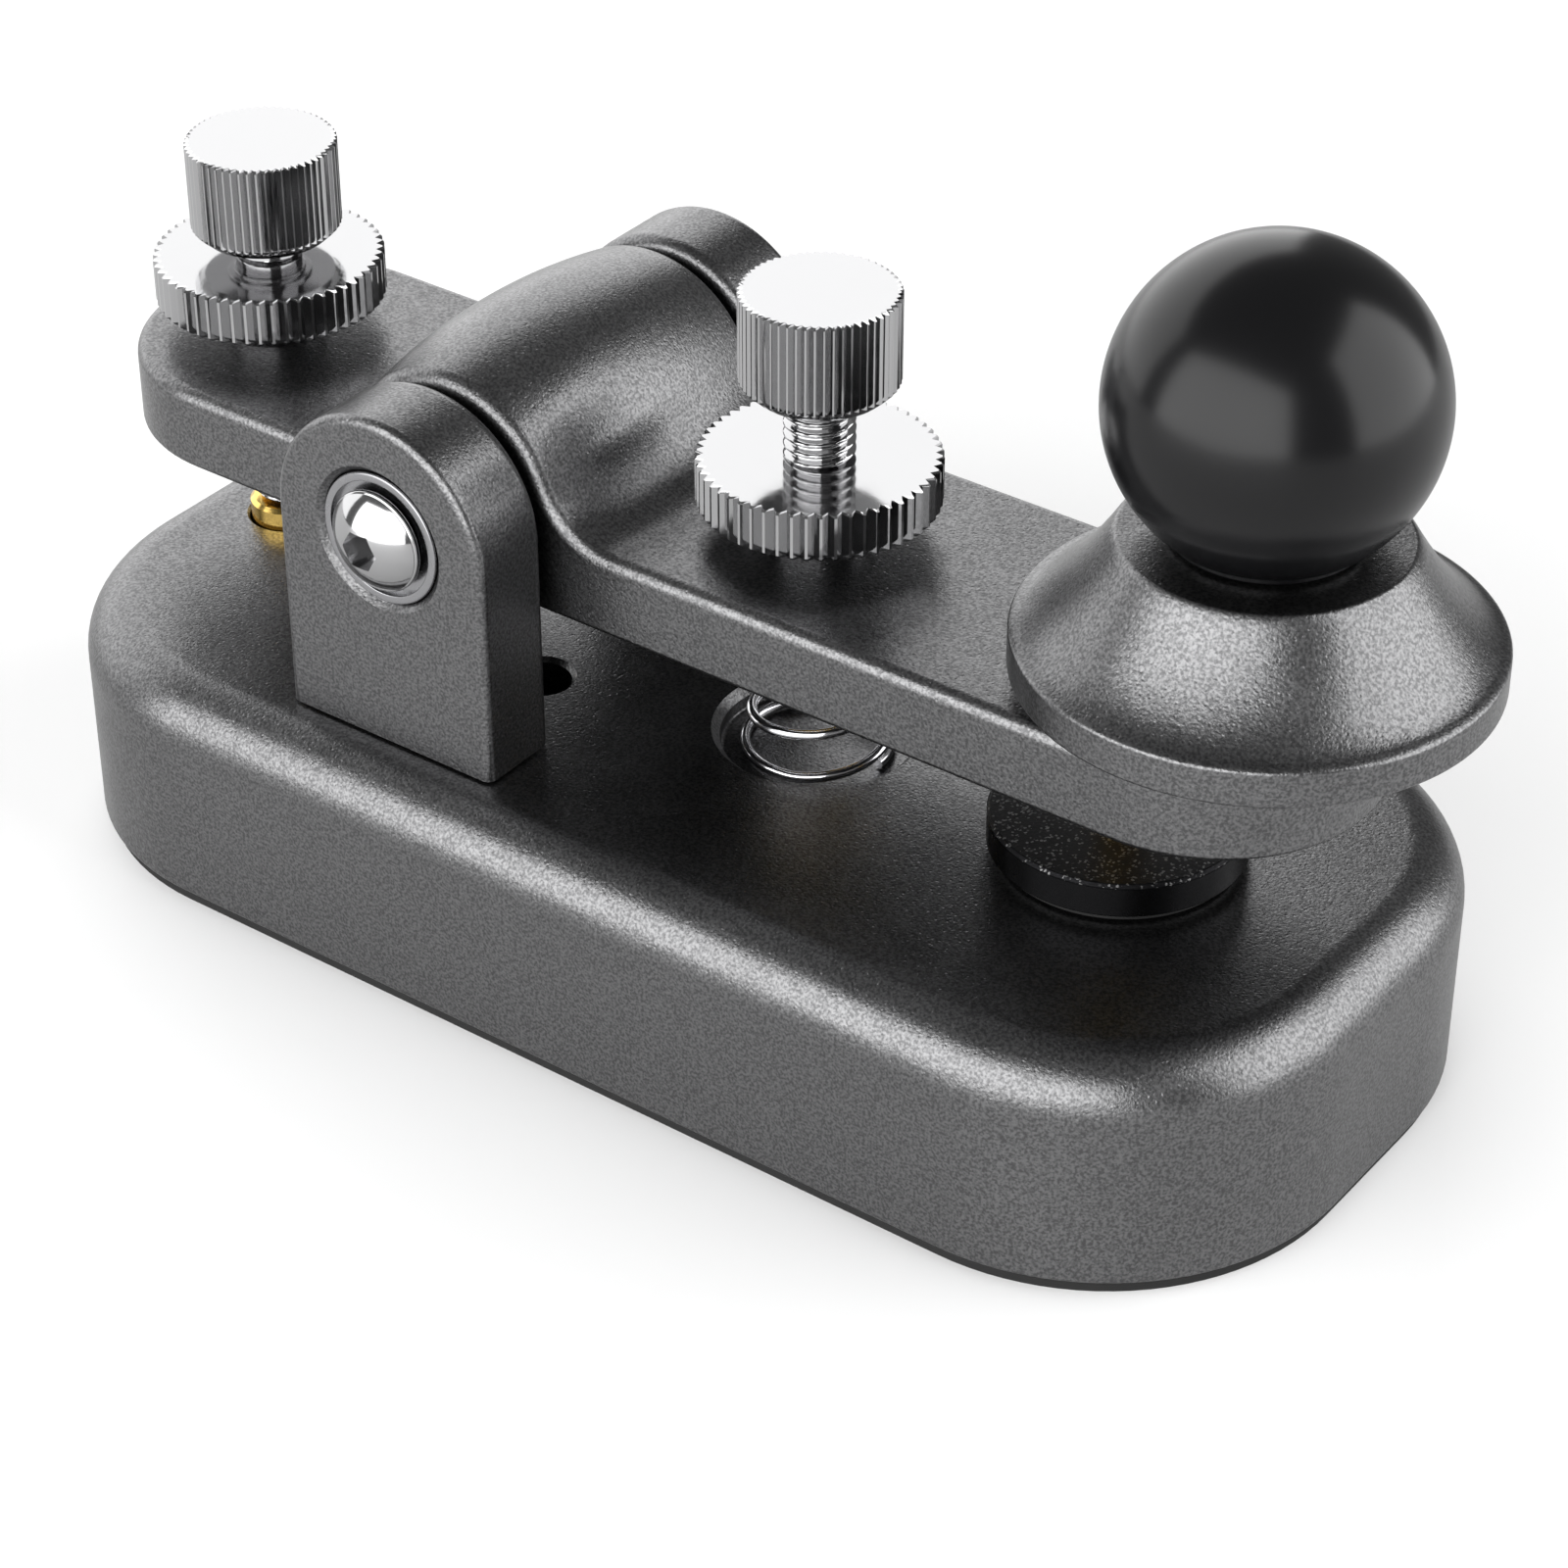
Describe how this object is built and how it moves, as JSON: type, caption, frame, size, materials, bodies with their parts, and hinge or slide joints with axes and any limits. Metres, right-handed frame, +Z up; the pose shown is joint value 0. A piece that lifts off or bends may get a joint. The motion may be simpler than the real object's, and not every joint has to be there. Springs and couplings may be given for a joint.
{
  "type": "straight morse key",
  "caption": "Hand-pumped telegraph key: heavy rounded base, pivoted lever with ball knob and finger disc, return spring, contact anvil and knurled adjusting screws.",
  "frame": {"origin": "centre of the base's footprint, on the surface the rubber pad stands on", "axes": "+X along the lever from the pivot towards the ball knob, +Y across the lever towards the far pillar, +Z up"},
  "size_m": [0.1106, 0.0492, 0.0672],
  "materials": {
    "gunmetal": "fine bead-blasted, anodised dark grey",
    "rubber": "matt",
    "steel": "plain",
    "bearing_steel": "ground",
    "black_anodised": "fine bead-blasted, anodised black",
    "insulator": "matt",
    "nylon": "matt",
    "brass": "turned",
    "spring_steel": "bright drawn",
    "jack_plastic": "matt",
    "polished_steel": "mirror polished",
    "red_wire": "satin",
    "black_wire": "satin",
    "black_gloss": "high gloss"
  },
  "bodies": {
    "base": {"base_body": "gunmetal", "pillar_near": "gunmetal", "pillar_far": "gunmetal", "rubber_pad": "rubber", "bottom_plate": "steel", "plate_screw_1": "steel", "plate_screw_2": "steel", "plate_screw_3": "steel", "plate_screw_4": "steel", "pillar_screw_1": "steel", "pillar_screw_2": "steel", "pillar_screw_3": "steel", "pillar_screw_4": "steel", "anvil_nut": "steel", "ground_screw": "steel", "bearing_outer_near": "bearing_steel", "bearing_outer_far": "bearing_steel", "anvil": "black_anodised", "anvil_washer": "insulator", "anvil_bush": "nylon", "anvil_contact": "brass", "gap_stop": "brass", "signal_tag": "brass", "ground_tag": "brass", "jack_tip_lug": "brass", "jack_sleeve_lug": "brass", "return_spring": "spring_steel", "jack_body": "jack_plastic", "jack_nut": "polished_steel", "signal_wire": "red_wire", "ground_wire": "black_wire"},
    "lever": {"lever_arm": "gunmetal", "pivot_screw_near": "polished_steel", "pivot_screw_far": "polished_steel", "pivot_spacer_near": "bearing_steel", "pivot_spacer_far": "bearing_steel", "bearing_inner_near": "bearing_steel", "bearing_inner_far": "bearing_steel", "finger_disc": "gunmetal", "ball_knob": "black_gloss", "knob_stud": "polished_steel", "contact_pin": "brass"},
    "tension_screw": {"tension_stud": "polished_steel", "spring_seat": "brass"},
    "tension_head": {"tension_knob": "polished_steel"},
    "tension_nut": {"tension_lock_nut": "polished_steel"},
    "gap_screw": {"gap_stud": "polished_steel"},
    "gap_head": {"gap_knob": "polished_steel"},
    "gap_nut": {"gap_lock_nut": "polished_steel"}
  },
  "joints": [
    {"name": "lever_pivot", "type": "hinge", "parent": "base", "child": "lever", "pos_m": [-0.0168, 0, 0.0351], "axis": [0, 1, 0], "range_deg": [0, 0.9], "stiffness_Nm_per_rad": 0.5, "springref_deg": -12.61, "deforming": ["return_spring"]},
    {"name": "tension_travel", "type": "slide", "parent": "lever", "child": "tension_screw", "axis": [0, 0, 1], "range_m": [-0.0016, 0.0012]},
    {"name": "tension_spin", "type": "hinge", "parent": "tension_screw", "child": "tension_head", "pos_m": [0.0063, 0, 0.046], "axis": [0, 0, 1], "range_deg": [-722, 542]},
    {"name": "tension_nut_turn", "type": "hinge", "parent": "lever", "child": "tension_nut", "pos_m": [0.0063, 0, 0.0349], "axis": [0, 0, 1], "range_deg": [0, 60]},
    {"name": "gap_travel", "type": "slide", "parent": "lever", "child": "gap_screw", "axis": [0, 0, 1], "range_m": [0, 0.0012]},
    {"name": "gap_spin", "type": "hinge", "parent": "gap_screw", "child": "gap_head", "pos_m": [-0.0439, 0, 0.0425], "axis": [0, 0, 1], "range_deg": [0, 542]},
    {"name": "gap_nut_turn", "type": "hinge", "parent": "lever", "child": "gap_nut", "pos_m": [-0.0439, 0, 0.0349], "axis": [0, 0, 1], "range_deg": [0, 60]}
  ],
  "couplings": [
    {"joint": "tension_spin", "follows": "tension_travel", "rad_per_m": 7854},
    {"joint": "gap_spin", "follows": "gap_travel", "rad_per_m": 7854}
  ]
}
